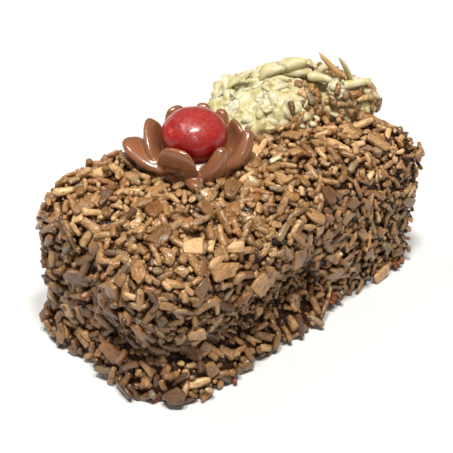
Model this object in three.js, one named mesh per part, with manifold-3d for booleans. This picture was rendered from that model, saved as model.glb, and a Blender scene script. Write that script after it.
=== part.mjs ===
// A bakery slice of chocolate cake: a soft-edged slab rolled in chocolate flakes, topped with a piped
// fudge rosette that holds a candied cherry, and with a mound of moist grated coconut.
//
// Units are millimetres and +Z is up. The slab lies along X and its near end is at -X. Its front long
// side faces -Y. The origin is the middle of the slab's underside.

import * as THREE from "three";
import { mergeVertices } from "three/addons/utils/BufferGeometryUtils.js";
import Module from "manifold-3d";

const wasm = await Module();
wasm.setup();

// ---------------------------------------------------------------- driving sizes

// The slab under its coat of flakes.
const SLAB = {
  length: 102,
  width: 54,
  height: 46,
  cornerRadius: 8,
  wornCornerRadius: 15.5, // the near front corner is worn round
  farCornerRadius: 4, // at the front
  topEdgeRadius: 12, // along the front
  backEdgeRadius: 7.5,
};

// Where the top stands higher than its edges.
const SWELLS = [
  { x: 0, y: 0, radius: 26, height: 0.8 },
  { x: -31, y: 18, radius: 12, height: 2.4 },
  { x: 45, y: 5, radius: 9, height: 3.4 },
];

// On the near part of the front, the upper cake bulges over a waist, with a rim pressed out below it.
const WAIST = {
  height: 15.5,
  depth: 4.6,
  halfBandNear: 4,
  halfBandFar: 9,
  endX: 7, // the waist ends here, along the front
  fade: 3,
};
const BULGE = { height: 33, depth: 1.2, band: 9 };
const RIM = { height: 7, depth: 1.7 };

// Just past the rim, the foot of the front is set back.
const SETBACK = { x: 14, halfLength: 5, depth: 1.6, height: 16 };

// A furrow runs up the near end, between the worn corner and the back.
const FURROW = { y: 1, depth: 3.6, halfWidth: 2.6 };

// The coat spreads at the foot of the near end, towards the back.
const FOOT = { depth: 2.3, height: 8 };

// The far end leans inwards towards its foot.
const FAR_END_LEAN = 0.3;

// What rests on or in another piece keeps this gap to it.
const CLEARANCE = 0.3;

const SHORT_EDGE = 0.06;

const FLAKES = {
  count: 232,
  spacing: 6.7,
  shard: { length: 6.6, width: 4.3, thickness: 1.5, share: 0.42 },
  rod: { length: 6.2, width: 2.5, thickness: 2.2 },
  sizeSpread: 0.25,
  tiltDegrees: 16,
  margin: 1.2, // what flakes keep clear of the toppings
};

const ROSETTE = { x: -9.2, y: 6.2, bodyRadius: 11.5, bodyHeight: 6.2 };

const CHERRY = {
  radius: 9.2,
  squash: 0.8,
  height: 8.5,
  dimple: 0.1, // where the stone was pressed out, as a share of the radius
  dimpleTowards: [-0.75, 0.1, 0.62],
  dimpleAngle: 0.2,
};

// The rosette's piped ridges. Each follows a curve through a foot, a belly and a tip, given as the
// bearing in degrees from +X, the reach from the rosette's middle and the rise over its base.
const RIDGES = {
  leftFold: { foot: [184, 8.5, 1], belly: [150, 14.8, 1], tip: [127, 18.4, 5], width: 6, thickness: 4.2 },
  leftWall: { foot: [172, 7.5, 2], belly: [140, 13.6, 3], tip: [100, 11.8, 8.6], width: 9, thickness: 3 },
  disc: { foot: [203, 6.5, 0.8], belly: [203, 11.7, 1], tip: [203, 11.4, 8.4], width: 11.5, thickness: 2.8 },
  front: { foot: [238, 8, 0.8], belly: [248, 13.4, 0.8], tip: [270, 11.6, 8.6], width: 5.6, thickness: 4.6 },
  right: { foot: [286, 7, 0.8], belly: [300, 14.6, 0.8], tip: [324, 14.8, 8.4], width: 5.6, thickness: 4.6 },
  rightWall: { foot: [330, 6, 0.8], belly: [340, 12.8, 1], tip: [340, 12.6, 8.8], width: 9, thickness: 2.6 },
  far: { foot: [8, 6, 0.8], belly: [10, 13, 0.8], tip: [14, 13.6, 8.8], width: 5, thickness: 4 },
  back: { foot: [36, 6, 0.8], belly: [38, 12.4, 0.8], tip: [36, 13, 9.8], width: 5.6, thickness: 4.2 },
  backWall: { foot: [70, 6, 0.8], belly: [72, 12, 0.8], tip: [74, 11.8, 9.2], width: 7.5, thickness: 3.4 },
  tail: { foot: [214, 8, 0.8], belly: [226, 12, 0.6], tip: [231, 15.4, 1], width: 3.8, thickness: 2.8 },
};

// The coconut lies in one long heap, with a lower one at its far end, in front.
const COCONUT = {
  mound: { x: 29, y: 11.5, halfLength: 21, halfWidth: 14, height: 9.8, turnDegrees: -14 },
  lobe: { x: 42, y: -1.6, halfLength: 9.4, halfWidth: 6.8, height: 9.2, turnDegrees: -44 },
  shreds: 28,
  shred: { length: 9, width: 1.9, thickness: 1.0 },
  flakesOnMound: 9,
  flakesOnLobe: 7,
};

// The few long shreds that stand out of the mound: root, bearing and climb in degrees, and size.
const LOOSE_SHREDS = [
  { root: [13, 22, 51], bearing: -37, climb: 38, length: 14, width: 2.6, thickness: 1 },
  { root: [24.5, 17.5, 54.5], bearing: -47, climb: 25, length: 15.5, width: 5, thickness: 2.6 },
  { root: [44.5, -4.4, 51.8], bearing: 133, climb: 50, length: 16, width: 1.9, thickness: 1 },
  { root: [45, -3.8, 51.9], bearing: 175, climb: 64, length: 13.4, width: 1.8, thickness: 1 },
  { root: [37.9, -3.2, 54.6], bearing: -28, climb: 2, length: 11, width: 2.4, thickness: 1 },
];

// ---------------------------------------------------------------- small helpers

const radians = THREE.MathUtils.degToRad;
const lerp = THREE.MathUtils.lerp;

// 0 before a, 1 after b, and smooth between. It also runs downwards, when a is above b.
function ramp(value, a, b) {
  const t = THREE.MathUtils.clamp((value - a) / (b - a), 0, 1);
  return t * t * (3 - 2 * t);
}

function bell(value, halfWidth) {
  return Math.exp(-((value / halfWidth) ** 2));
}

// A repeatable source of numbers from 0 to 1.
function seeded(seed) {
  let state = seed;
  return () => {
    state = (state + 0x6d2b79f5) | 0;
    let t = Math.imul(state ^ (state >>> 15), 1 | state);
    t = (t + Math.imul(t ^ (t >>> 7), 61 | t)) ^ t;
    return ((t ^ (t >>> 14)) >>> 0) / 4294967296;
  };
}

function between(random, low, high) {
  return low + (high - low) * random();
}

function toSolid(geometry) {
  const bare = geometry.clone();
  bare.deleteAttribute("normal");
  bare.deleteAttribute("uv");
  const merged = mergeVertices(bare, 1e-4);
  return new wasm.Manifold(
    new wasm.Mesh({
      numProp: 3,
      vertProperties: new Float32Array(merged.attributes.position.array),
      triVerts: new Uint32Array(merged.index.array),
    }),
  );
}

function toGeometry(solid) {
  const mesh = solid.getMesh();
  const geometry = new THREE.BufferGeometry();
  geometry.setAttribute("position", new THREE.BufferAttribute(mesh.vertProperties, 3));
  geometry.setIndex(new THREE.BufferAttribute(mesh.triVerts, 1));
  return geometry;
}

// Only the largest body of a solid, so that no sliver from a cut floats free. Edges shorter than a
// few hundredths of a millimetre, left where surfaces cross, are closed up.
function largestBody(solid) {
  const tidied = solid.asOriginal().simplify(SHORT_EDGE);
  return tidied.decompose().reduce((a, b) => (a.volume() > b.volume() ? a : b));
}

// Moves each vertex of a geometry by a rule that gets the vertex and changes it.
function reshape(geometry, rule) {
  const position = geometry.attributes.position;
  const vertex = new THREE.Vector3();
  for (let i = 0; i < position.count; i++) {
    rule(vertex.fromBufferAttribute(position, i));
    position.setXYZ(i, vertex.x, vertex.y, vertex.z);
  }
  return geometry;
}

// ---------------------------------------------------------------- the slab

// Signed distance in plan to the slab's outline, a rectangle with round corners.
function outlineDistance(x, y) {
  const frontRadius = x < 0 ? SLAB.wornCornerRadius : SLAB.farCornerRadius;
  const radius = y < 0 ? frontRadius : SLAB.cornerRadius;
  const qx = Math.abs(x) - SLAB.length / 2 + radius;
  const qy = Math.abs(y) - SLAB.width / 2 + radius;
  const outside = Math.hypot(Math.max(qx, 0), Math.max(qy, 0));
  return Math.min(Math.max(qx, qy), 0) + outside - radius;
}

// How far the side stands out of that outline at a point, from the waist, bulge, rim and furrow.
function sideRelief(x, y, z) {
  const near = ramp(x, WAIST.endX + WAIST.fade, WAIST.endX - WAIST.fade) * ramp(y, 5, -7);
  const halfBand = lerp(WAIST.halfBandNear, WAIST.halfBandFar, ramp(x, -42, -8));
  const waist = -WAIST.depth * Math.exp(-(((z - WAIST.height) / halfBand) ** 4));
  const bulge = BULGE.depth * bell(z - BULGE.height, BULGE.band);
  const rim = RIM.depth * ramp(z, RIM.height, RIM.height / 2);
  const upFurrow = ramp(z, 3, 12) * ramp(z, SLAB.height, SLAB.height - 9);
  const furrow = -FURROW.depth * bell(y - FURROW.y, FURROW.halfWidth) * ramp(x, -34, -44) * upFurrow;
  const lean = -FAR_END_LEAN * ramp(x, 30, 46) * ramp(z, SLAB.height * 0.8, 0);
  const foot = FOOT.depth * ramp(z, FOOT.height, FOOT.height / 2) * ramp(x, -36, -48) * ramp(y, 4, 12);
  const pastRim = bell(x - SETBACK.x, SETBACK.halfLength) * ramp(y, -15, -22);
  const setback = -SETBACK.depth * pastRim * ramp(z, SETBACK.height, SETBACK.height / 2);
  return near * (waist + bulge + rim) + furrow + lean + foot + setback;
}

// The unevenness of a hand-cut slab, and bumps of the size of the coat's small flakes.
function unevenness(x, y, z) {
  const broad = Math.sin(x / 7.3 + 1.1) * Math.sin(y / 6.1 + z / 8.7 + 0.4);
  const fine = Math.sin(x / 1.5 + z / 2.3) * Math.sin(y / 1.6 - z / 1.9 + 2.0);
  return 0.55 * broad + 0.6 * fine;
}

function slabDistance(x, y, z) {
  const edge = lerp(SLAB.backEdgeRadius, SLAB.topEdgeRadius, ramp(y, 6, -14));
  const swelling = (s) => s.height * bell(Math.hypot(x - s.x, y - s.y), s.radius);
  const crown = SWELLS.reduce((sum, swell) => sum + swelling(swell), 0);
  const side = outlineDistance(x, y) - sideRelief(x, y, z) + edge;
  const top = z - SLAB.height - crown + edge;
  const rounded = Math.hypot(Math.max(side, 0), Math.max(top, 0));
  return Math.min(Math.max(side, top), 0) + rounded - edge - unevenness(x, y, z);
}

function slabNormal(point) {
  const step = 0.4;
  const along = (axis) => {
    const a = point.clone();
    const b = point.clone();
    a[axis] += step;
    b[axis] -= step;
    return slabDistance(a.x, a.y, a.z) - slabDistance(b.x, b.y, b.z);
  };
  return new THREE.Vector3(along("x"), along("y"), along("z")).normalize();
}

// The point where a ray from inside the slab first comes within `outside` of its surface.
function slabSurface(from, direction, outside = 0) {
  const at = (t) => from.clone().addScaledVector(direction, t);
  const depth = (t) => {
    const p = at(t);
    return Math.max(slabDistance(p.x, p.y, p.z) - outside, -SPINE.below - p.z);
  };
  const stride = 0.8;
  let high = stride;
  while (depth(high) < 0) high += stride;
  let low = high - stride;
  for (let i = 0; i < 18; i++) {
    const middle = (low + high) / 2;
    if (depth(middle) < 0) low = middle;
    else high = middle;
  }
  return at(low);
}

// Rays leave a spine inside the slab. A point of the unit box picks the ray's foot and direction.
const SPINE = { halfLength: 30, height: 19, below: 5 };

function rayThrough(u, v, w) {
  const foot = new THREE.Vector3(u * SPINE.halfLength, 0, SPINE.height);
  const target = new THREE.Vector3(
    (u * SLAB.length) / 2,
    (v * SLAB.width) / 2,
    lerp(-SPINE.below, SLAB.height, (w + 1) / 2),
  );
  return { foot, direction: target.sub(foot).normalize() };
}

// Reaches below the floor, and is cut flat there with the flakes.
function slabSolid(outside, columns, rows, layers) {
  const geometry = new THREE.BoxGeometry(2, 2, 2, columns, rows, layers);
  reshape(geometry, (p) => {
    const ray = rayThrough(p.x, p.y, p.z);
    p.copy(slabSurface(ray.foot, ray.direction, outside));
  });
  return toSolid(geometry);
}

// ---------------------------------------------------------------- chocolate flakes

// A broken plate with five sides.
function shardGeometry() {
  return new THREE.CylinderGeometry(0.42, 0.52, 1, 5).rotateX(Math.PI / 2);
}

// A blunt stick along X.
function rodGeometry() {
  return new THREE.CylinderGeometry(0.44, 0.52, 1, 4).rotateY(Math.PI / 4).rotateZ(Math.PI / 2);
}

// Lays one flake at a point, flat to the normal but for a small tilt, and half sunk.
function flakeSolid(kind, size, point, normal, random) {
  const geometry = kind === "shard" ? shardGeometry() : rodGeometry();
  geometry.scale(size.x, size.y, size.z);
  const tilt = radians(FLAKES.tiltDegrees);
  const turn = new THREE.Euler(
    between(random, -tilt, tilt),
    between(random, -tilt, tilt),
    between(random, 0, 2 * Math.PI),
  );
  const onto = new THREE.Quaternion().setFromUnitVectors(new THREE.Vector3(0, 0, 1), normal);
  const quaternion = onto.multiply(new THREE.Quaternion().setFromEuler(turn));
  const centre = point.clone().addScaledVector(normal, size.z * 0.18);
  const matrix = new THREE.Matrix4().compose(centre, quaternion, new THREE.Vector3(1, 1, 1));
  return toSolid(geometry.applyMatrix4(matrix));
}

function flakeSize(kind, random) {
  const grow = 1 + between(random, -FLAKES.sizeSpread, FLAKES.sizeSpread);
  const size = FLAKES[kind];
  return new THREE.Vector3(size.length * grow, size.width, size.thickness);
}

// True where a flake of that reach would come too close to the rosette or the coconut.
function nearToppings(point, reach) {
  if (point.z < SLAB.height - SLAB.topEdgeRadius) return false;
  const keep = reach + FLAKES.margin;
  const toRosette = Math.hypot(point.x - ROSETTE.x, point.y - ROSETTE.y);
  const onRidge = Object.values(RIDGES).some((ridge) => {
    const places = [ridge.belly, ridge.tip].map((place) => onRosette(...place));
    return places.some((p) => Math.hypot(point.x - p.x, point.y - p.y) < keep + ridge.width / 2);
  });
  return onRidge || toRosette < ROSETTE.bodyRadius + keep || coconutDistance(point) < keep;
}

// Flakes spread evenly over the slab, each far enough from those already laid.
function layFlakes() {
  const random = seeded(20);
  const laid = [];
  const solids = [];
  for (let tries = 0; tries < 60000 && laid.length < FLAKES.count; tries++) {
    const ray = rayThrough(...randomOnBox(random));
    const point = slabSurface(ray.foot, ray.direction);
    const kind = random() < FLAKES.shard.share ? "shard" : "rod";
    const size = flakeSize(kind, random);
    if (point.z < size.y * 0.35) continue;
    if (laid.some((p) => p.distanceTo(point) < FLAKES.spacing)) continue;
    if (nearToppings(point, size.x / 2)) continue;
    laid.push(point);
    solids.push(flakeSolid(kind, size, point, slabNormal(point), random));
  }
  return solids;
}

// A point on five faces of the unit box, by area of the slab's faces, leaving out the underside.
function randomOnBox(random) {
  const areas = [
    SLAB.length * SLAB.width,
    SLAB.length * SLAB.height,
    SLAB.length * SLAB.height,
    SLAB.width * SLAB.height,
    SLAB.width * SLAB.height,
  ];
  let pick = random() * areas.reduce((a, b) => a + b);
  const face = areas.findIndex((area) => (pick -= area) < 0);
  const a = between(random, -1, 1);
  const b = between(random, -1, 1);
  const side = between(random, -0.78, 1);
  return [[a, b, 1], [a, -1, side], [a, 1, side], [-1, b, side], [1, b, side]][face];
}

function floorBlock() {
  const depth = 40;
  const block = new THREE.BoxGeometry(SLAB.length * 2, SLAB.length * 2, depth);
  return toSolid(block.translate(0, 0, -depth / 2));
}

function cakeSolid() {
  const slab = slabSolid(0, 20, 11, 9);
  const coated = wasm.Manifold.union([slab, ...layFlakes()]);
  return largestBody(coated.subtract(floorBlock()));
}

// ---------------------------------------------------------------- fudge rosette and cherry

// Where the rosette meets the slab's top.
const rosetteBase = slabSurface(
  new THREE.Vector3(ROSETTE.x, ROSETTE.y, SPINE.height),
  new THREE.Vector3(0, 0, 1),
);

function onRosette(bearing, reach, rise) {
  return new THREE.Vector3(
    ROSETTE.x + reach * Math.cos(radians(bearing)),
    ROSETTE.y + reach * Math.sin(radians(bearing)),
    rosetteBase.z + rise,
  );
}

// One piped ridge: a ball drawn out along its curve.
function ridgeSolid(ridge) {
  const places = [ridge.foot, ridge.belly, ridge.tip].map((place) => onRosette(...place));
  const spine = new THREE.QuadraticBezierCurve3(...places);
  const geometry = new THREE.SphereGeometry(1, 10, 10).rotateZ(Math.PI / 2);
  const middle = onRosette(0, 0, 0);
  reshape(geometry, (p) => {
    const t = (p.x + 1) / 2;
    const at = spine.getPoint(t);
    const forward = spine.getTangent(t);
    const outward = at.clone().sub(middle).setZ(0).normalize();
    const round = new THREE.Vector3(-outward.y, outward.x, 0);
    const face = new THREE.Vector3().crossVectors(forward, round).normalize();
    const side = new THREE.Vector3().crossVectors(face, forward);
    // Rounder towards the tip than a drawn-out ball would be.
    const fullness = 1 / Math.max(Math.sqrt(1 - p.x * p.x), 0.25) ** 0.45;
    p.copy(
      at
        .addScaledVector(side, p.y * ridge.width * 0.5 * fullness)
        .addScaledVector(face, p.z * ridge.thickness * 0.5 * fullness),
    );
  });
  return toSolid(geometry);
}

function cherryGeometry(grow, dimple = 0) {
  const geometry = new THREE.SphereGeometry(CHERRY.radius + grow, 20, 13).rotateX(Math.PI / 2);
  const towards = new THREE.Vector3(...CHERRY.dimpleTowards).normalize();
  reshape(geometry, (p) => p.multiplyScalar(1 - dimple * bell(p.angleTo(towards), CHERRY.dimpleAngle)));
  geometry.scale(1, 1, CHERRY.squash);
  return geometry.translate(ROSETTE.x, ROSETTE.y, rosetteBase.z + CHERRY.height);
}

function rosetteSolid(grownSlab) {
  const body = new THREE.SphereGeometry(1, 20, 10).rotateX(Math.PI / 2);
  body.scale(ROSETTE.bodyRadius, ROSETTE.bodyRadius, ROSETTE.bodyHeight);
  body.translate(ROSETTE.x, ROSETTE.y, rosetteBase.z);
  const piped = wasm.Manifold.union([toSolid(body), ...Object.values(RIDGES).map(ridgeSolid)]);
  const seat = toSolid(cherryGeometry(CLEARANCE));
  return largestBody(piped.subtract(seat).subtract(grownSlab));
}

// ---------------------------------------------------------------- grated coconut

// Rough distance in plan from a point to a heap's foot.
function heapDistance(point, heap) {
  const local = new THREE.Vector2(point.x - heap.x, point.y - heap.y);
  local.rotateAround(new THREE.Vector2(), -radians(heap.turnDegrees));
  const share = Math.hypot(local.x / heap.halfLength, local.y / heap.halfWidth);
  return share > 0 ? local.length() * (1 - 1 / share) : -heap.halfWidth;
}

function coconutDistance(point) {
  return Math.min(heapDistance(point, COCONUT.mound), heapDistance(point, COCONUT.lobe));
}

const coconutBase = slabSurface(
  new THREE.Vector3(COCONUT.mound.x, COCONUT.mound.y, SPINE.height),
  new THREE.Vector3(0, 0, 1),
);

// A point on a heap's skin, by bearing and by height angle, and its normal.
function onHeap(heap, bearing, climb, swell = 1) {
  const lump = 1 + 0.06 * Math.sin(3 * bearing + 1) + 0.05 * Math.sin(5 * climb + 2 * bearing);
  const axes = new THREE.Vector3(heap.halfLength, heap.halfWidth, heap.height);
  const point = new THREE.Vector3(
    Math.cos(bearing) * Math.cos(climb),
    Math.sin(bearing) * Math.cos(climb),
    Math.sin(climb),
  );
  const normal = point.clone().divide(axes);
  const up = new THREE.Vector3(0, 0, 1);
  point.multiply(axes).multiplyScalar(lump * swell).applyAxisAngle(up, radians(heap.turnDegrees));
  point.add(new THREE.Vector3(heap.x, heap.y, coconutBase.z));
  normal.applyAxisAngle(up, radians(heap.turnDegrees)).normalize();
  return { point, normal };
}

function heapSolid(heap, columns, rows) {
  const geometry = new THREE.SphereGeometry(1, columns, rows).rotateX(Math.PI / 2);
  reshape(geometry, (p) => {
    const climb = Math.asin(THREE.MathUtils.clamp(p.z, -1, 1));
    p.copy(onHeap(heap, Math.atan2(p.y, p.x), climb).point);
  });
  return toSolid(geometry);
}

// A strip of coconut that bends gently upwards, with its root at the origin, along +X.
function shredGeometry(length, width, thickness) {
  const geometry = new THREE.BoxGeometry(length, width, thickness, 2, 1, 1).translate(length / 2, 0, 0);
  return reshape(geometry, (p) => {
    const t = p.x / length;
    p.y *= 1 - 0.55 * t * t;
    p.z += length * 0.12 * Math.sin(Math.PI * t);
  });
}

function placeShred(geometry, root, direction, normal) {
  const side = new THREE.Vector3().crossVectors(normal, direction).normalize();
  const face = new THREE.Vector3().crossVectors(direction, side);
  const matrix = new THREE.Matrix4().makeBasis(direction, side, face).setPosition(root);
  return toSolid(geometry.applyMatrix4(matrix));
}

// Shreds that lie over the mound, each rooted in it and running roughly along its skin.
function moundShreds(random) {
  return Array.from({ length: COCONUT.shreds }, (_, i) => {
    const golden = Math.PI * (3 - Math.sqrt(5));
    const climb = Math.asin(lerp(0.22, 0.97, (i + 0.5) / COCONUT.shreds));
    const { point, normal } = onHeap(COCONUT.mound, i * golden, climb, 0.97);
    const heading = between(random, 0, 2 * Math.PI);
    const along = new THREE.Vector3(Math.cos(heading), Math.sin(heading), 0);
    along.addScaledVector(normal, -along.dot(normal)).normalize().addScaledVector(normal, 0.12);
    const length = COCONUT.shred.length * between(random, 0.7, 1.2);
    const root = point.clone().addScaledVector(along, -length / 2);
    const strip = shredGeometry(length, COCONUT.shred.width, COCONUT.shred.thickness);
    return placeShred(strip, root, along.normalize(), normal);
  });
}

function looseShreds() {
  return LOOSE_SHREDS.map((shred) => {
    const climb = radians(shred.climb);
    const direction = new THREE.Vector3(
      Math.cos(radians(shred.bearing)) * Math.cos(climb),
      Math.sin(radians(shred.bearing)) * Math.cos(climb),
      Math.sin(climb),
    );
    const root = new THREE.Vector3(...shred.root);
    const strip = shredGeometry(shred.length, shred.width, shred.thickness);
    return placeShred(strip, root, direction, new THREE.Vector3(0, 0, 1));
  });
}

// Flakes that stick to a heap between two bearings in degrees, low on its side.
function heapFlakes(heap, count, from, to, random) {
  return Array.from({ length: count }, (_, i) => {
    const bearing = radians(lerp(from, to, (i + 0.5) / count));
    const { point, normal } = onHeap(heap, bearing, between(random, 0.3, 0.85));
    return flakeSolid("rod", flakeSize("rod", random), point, normal, random);
  });
}

function coconutSolid(grownSlab, grownRosette, cake) {
  const random = seeded(7);
  const heap = wasm.Manifold.union([
    heapSolid(COCONUT.mound, 18, 12),
    heapSolid(COCONUT.lobe, 14, 8),
    ...moundShreds(random),
    ...looseShreds(),
    ...heapFlakes(COCONUT.mound, COCONUT.flakesOnMound, -112, -20, random),
    ...heapFlakes(COCONUT.lobe, COCONUT.flakesOnLobe, -130, 70, random),
  ]);
  return largestBody(heap.subtract(grownSlab).subtract(grownRosette).subtract(cake));
}

// ---------------------------------------------------------------- the whole slice

const FINISH = {
  cake: { color: 0x7d5431, roughness: 0.45 },
  rosette: { color: 0x7a4a2c, roughness: 0.25 },
  cherry: { color: 0xa8201c, roughness: 0.18 },
  coconut: { color: 0xebe6b8, roughness: 0.4 },
};

const slice = new THREE.Group();

function addPiece(name, geometry) {
  const material = new THREE.MeshStandardMaterial({ ...FINISH[name], metalness: 0 });
  const mesh = new THREE.Mesh(geometry, material);
  mesh.name = name;
  slice.add(mesh);
}

// The rosette's and the cherry's outer reach, which the coconut keeps clear of.
function rosetteEnvelope() {
  const envelope = new THREE.SphereGeometry(1, 24, 16).rotateX(Math.PI / 2);
  const radius = RIDGES.far.tip[1] + RIDGES.far.thickness / 2 + 0.8;
  envelope.scale(radius, radius, 16);
  return toSolid(envelope.translate(ROSETTE.x, ROSETTE.y, rosetteBase.z + 5));
}

const grownSlab = slabSolid(CLEARANCE, 20, 11, 9);
const cake = cakeSolid();

addPiece("cake", toGeometry(cake));
addPiece("rosette", toGeometry(rosetteSolid(grownSlab)));
addPiece("cherry", cherryGeometry(0, CHERRY.dimple));
addPiece("coconut", toGeometry(coconutSolid(grownSlab, rosetteEnvelope(), cake)));

export default slice;
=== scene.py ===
"""A bakery slice of chocolate cake, coated in chocolate flakes.

A piped fudge rosette on top holds a candied cherry, and moist grated coconut lies beside it. Lengths
inside the functions are millimetres, and every mesh is turned to metres when it is finished. The slab
lies along X with its near end at -X, its front long side faces -Y, and the origin is the middle of
its underside.
"""

import functools
import math
import random
from collections import namedtuple

import bmesh
import bpy
import numpy as np
from mathutils import Euler, Matrix, Vector, noise


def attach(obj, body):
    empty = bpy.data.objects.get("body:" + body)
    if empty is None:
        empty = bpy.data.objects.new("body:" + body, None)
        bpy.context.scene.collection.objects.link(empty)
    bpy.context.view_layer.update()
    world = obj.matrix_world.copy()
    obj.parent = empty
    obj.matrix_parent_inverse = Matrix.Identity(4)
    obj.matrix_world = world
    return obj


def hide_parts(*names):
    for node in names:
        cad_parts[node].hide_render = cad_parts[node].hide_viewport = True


bl_info = {
    "name": "Chocolate cake slice",
    "version": (1, 0, 0),
    "blender": (4, 5, 0),
    "location": "3D View > Sidebar > Cake slice",
    "description": "A slice of cake coated in chocolate flakes, with a cherry on fudge and grated coconut",
    "category": "Add Mesh",
}

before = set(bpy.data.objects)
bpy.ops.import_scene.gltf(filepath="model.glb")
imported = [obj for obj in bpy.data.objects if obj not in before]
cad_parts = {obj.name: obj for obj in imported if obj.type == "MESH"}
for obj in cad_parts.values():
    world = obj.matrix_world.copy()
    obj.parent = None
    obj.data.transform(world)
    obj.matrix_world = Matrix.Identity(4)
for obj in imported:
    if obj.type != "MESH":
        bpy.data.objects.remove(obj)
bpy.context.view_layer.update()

MM = 0.001


def linear(hex_colour):
    """An sRGB hex colour as the linear red, green and blue that Blender works in."""
    values = [int(hex_colour[i : i + 2], 16) / 255 for i in (1, 3, 5)]
    return tuple(v / 12.92 if v <= 0.04045 else ((v + 0.055) / 1.055) ** 2.4 for v in values)


# ---------------- the slab's form, in millimetres

SLAB_LENGTH = 102
SLAB_WIDTH = 54
SLAB_HEIGHT = 46
CORNER_RADIUS = 8
WORN_CORNER_RADIUS = 15.5  # the near front corner is worn round
FAR_CORNER_RADIUS = 4  # at the front
TOP_EDGE_RADIUS = 12  # along the front
BACK_EDGE_RADIUS = 7.5

# The ganache lies this deep, and the coat of flakes fills the slab's form above it.
COAT_DEPTH = 1.5

# Where the top stands higher than its edges: x, y, radius and height.
SWELLS = ((0, 0, 26, 0.8), (-31, 18, 12, 2.4), (45, 5, 9, 3.4))

# On the near part of the front, the upper cake bulges over a waist, with a rim pressed out below it.
WAIST_HEIGHT = 15.5
WAIST_DEPTH = 4.6
WAIST_HALF_BANDS = (4, 9)  # at the near end, and towards the middle
WAIST_END_X = 7
WAIST_FADE = 3
BULGE_HEIGHT, BULGE_DEPTH, BULGE_BAND = 33, 1.2, 9
RIM_HEIGHT, RIM_DEPTH = 7, 1.7

# Just past the rim, the foot of the front is set back.
SETBACK_X, SETBACK_HALF_LENGTH, SETBACK_DEPTH, SETBACK_HEIGHT = 14, 5, 1.6, 16

# A furrow runs up the near end, between the worn corner and the back.
FURROW_Y, FURROW_DEPTH, FURROW_HALF_WIDTH = 1, 3.6, 2.6

# A foot is pressed out at the back of the near end, and the far end's foot is set in a little.
FOOT_DEPTH, FOOT_HEIGHT = 2.3, 8
FAR_END_LEAN = 0.3

# From where to where the forms above set in, along one axis.
FRONT_Y = (5, -7)
MIDDLE_X = (-42, -8)
FURROW_X, FURROW_Z = (-34, -44), (3, 12)
FAR_END_X = (30, 46)
FOOT_X, FOOT_Y = (-36, -48), (4, 12)
SETBACK_Y = (-15, -22)
FRONT_EDGE_Y = (6, -14)

# How far the slab's broad waves and small bumps rise.
BROAD_WAVES, SMALL_BUMPS = 0.55, 0.6

# Rays that find the slab's surface leave a spine inside it.
SPINE_HALF_LENGTH, SPINE_HEIGHT, SPINE_BELOW = 30, 19, 5


def ramp(value, a, b):
    """0 before a, 1 after b, and smooth between. It also runs downwards, when a is above b."""
    t = np.clip((value - a) / (b - a), 0, 1)
    return t * t * (3 - 2 * t)


def bell(value, half_width):
    return np.exp(-((value / half_width) ** 2))


def outline_distance(x, y):
    """Signed distance in plan to the slab's outline, a rectangle with round corners."""
    front_radius = np.where(x < 0, WORN_CORNER_RADIUS, FAR_CORNER_RADIUS)
    radius = np.where(y < 0, front_radius, CORNER_RADIUS)
    qx = np.abs(x) - SLAB_LENGTH / 2 + radius
    qy = np.abs(y) - SLAB_WIDTH / 2 + radius
    outside = np.hypot(np.maximum(qx, 0), np.maximum(qy, 0))
    return np.minimum(np.maximum(qx, qy), 0) + outside - radius


def side_relief(x, y, z):
    """How far the side stands out of that outline, from all the forms named above."""
    near = ramp(x, WAIST_END_X + WAIST_FADE, WAIST_END_X - WAIST_FADE) * ramp(y, *FRONT_Y)
    low, high = WAIST_HALF_BANDS
    half_band = low + (high - low) * ramp(x, *MIDDLE_X)
    waist = -WAIST_DEPTH * np.exp(-(((z - WAIST_HEIGHT) / half_band) ** 4))
    bulge = BULGE_DEPTH * bell(z - BULGE_HEIGHT, BULGE_BAND)
    rim = RIM_DEPTH * ramp(z, RIM_HEIGHT, RIM_HEIGHT / 2)
    up_furrow = ramp(z, *FURROW_Z) * ramp(z, SLAB_HEIGHT, SLAB_HEIGHT - 9)
    furrow = -FURROW_DEPTH * bell(y - FURROW_Y, FURROW_HALF_WIDTH) * ramp(x, *FURROW_X) * up_furrow
    lean = -FAR_END_LEAN * ramp(x, *FAR_END_X) * ramp(z, SLAB_HEIGHT * 0.8, 0)
    foot = FOOT_DEPTH * ramp(z, FOOT_HEIGHT, FOOT_HEIGHT / 2) * ramp(x, *FOOT_X) * ramp(y, *FOOT_Y)
    past_rim = bell(x - SETBACK_X, SETBACK_HALF_LENGTH) * ramp(y, *SETBACK_Y)
    setback = -SETBACK_DEPTH * past_rim * ramp(z, SETBACK_HEIGHT, SETBACK_HEIGHT / 2)
    return near * (waist + bulge + rim) + furrow + lean + foot + setback


def unevenness(x, y, z):
    """The unevenness of a hand-cut slab, and bumps of the size of the coat's small flakes."""
    broad = np.sin(x / 7.3 + 1.1) * np.sin(y / 6.1 + z / 8.7 + 0.4)
    fine = np.sin(x / 1.5 + z / 2.3) * np.sin(y / 1.6 - z / 1.9 + 2.0)
    return BROAD_WAVES * broad + SMALL_BUMPS * fine


def slab_distance(points):
    """Signed distance from points, an array of rows, to the slab's surface."""
    x, y, z = points.T
    edge = BACK_EDGE_RADIUS + (TOP_EDGE_RADIUS - BACK_EDGE_RADIUS) * ramp(y, *FRONT_EDGE_Y)
    crown = sum(h * bell(np.hypot(x - sx, y - sy), r) for sx, sy, r, h in SWELLS)
    side = outline_distance(x, y) - side_relief(x, y, z) + edge
    top = z - SLAB_HEIGHT - crown + edge
    rounded = np.hypot(np.maximum(side, 0), np.maximum(top, 0))
    return np.minimum(np.maximum(side, top), 0) + rounded - edge - unevenness(x, y, z)


def slab_normals(points):
    step = 0.4 * np.eye(3)
    slopes = [slab_distance(points + s) - slab_distance(points - s) for s in step]
    normals = np.stack(slopes, axis=1)
    return normals / np.linalg.norm(normals, axis=1, keepdims=True)


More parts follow.
